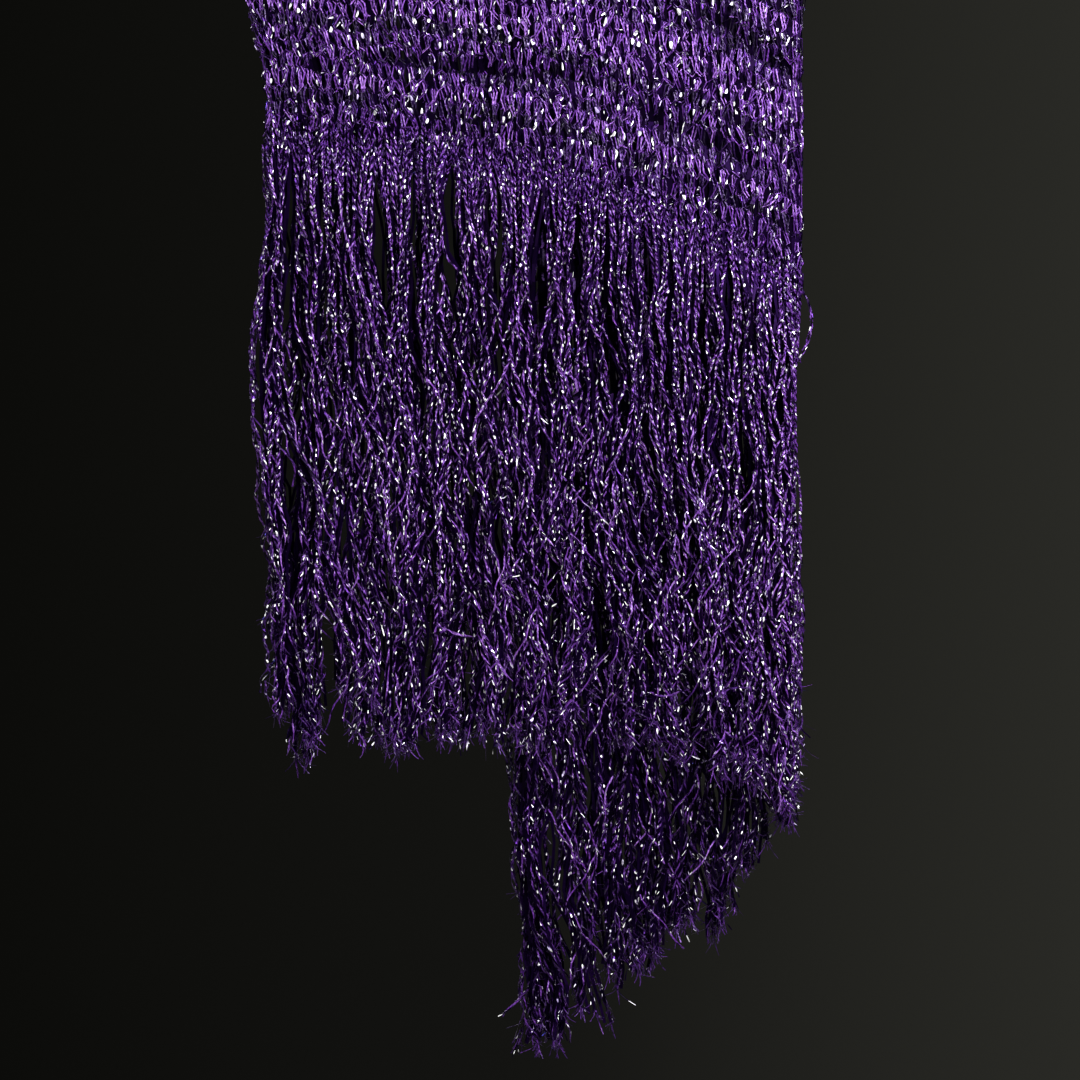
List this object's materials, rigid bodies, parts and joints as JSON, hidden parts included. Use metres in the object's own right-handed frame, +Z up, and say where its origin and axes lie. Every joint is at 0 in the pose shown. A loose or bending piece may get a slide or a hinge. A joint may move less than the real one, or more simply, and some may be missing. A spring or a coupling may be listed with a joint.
{
  "type": "fringed knitted shawl",
  "caption": "Loosely knitted shawl in metallic purple yarn with a long fringe at each end, folded lengthwise and hung over a rail.",
  "frame": {"origin": "axis of the rail that the shawl hangs over, midway between the outer selvedge and the lengthwise fold", "axes": "+X along the rail towards the lengthwise fold, -Y the front that faces the viewer, +Z up"},
  "size_m": [0.287, 0.0592, 1.1838],
  "materials": {
    "yarn": "glossy metallic polyester yarn, loosely knitted, purple with white glints"
  },
  "bodies": {
    "root": {"front_fall": "yarn", "rail_turn": "yarn", "rear_fall": "yarn", "front_fringe_outer": "yarn", "front_fringe_inner": "yarn", "rear_fringe_outer": "yarn", "rear_fringe_inner": "yarn"}
  },
  "joints": []
}
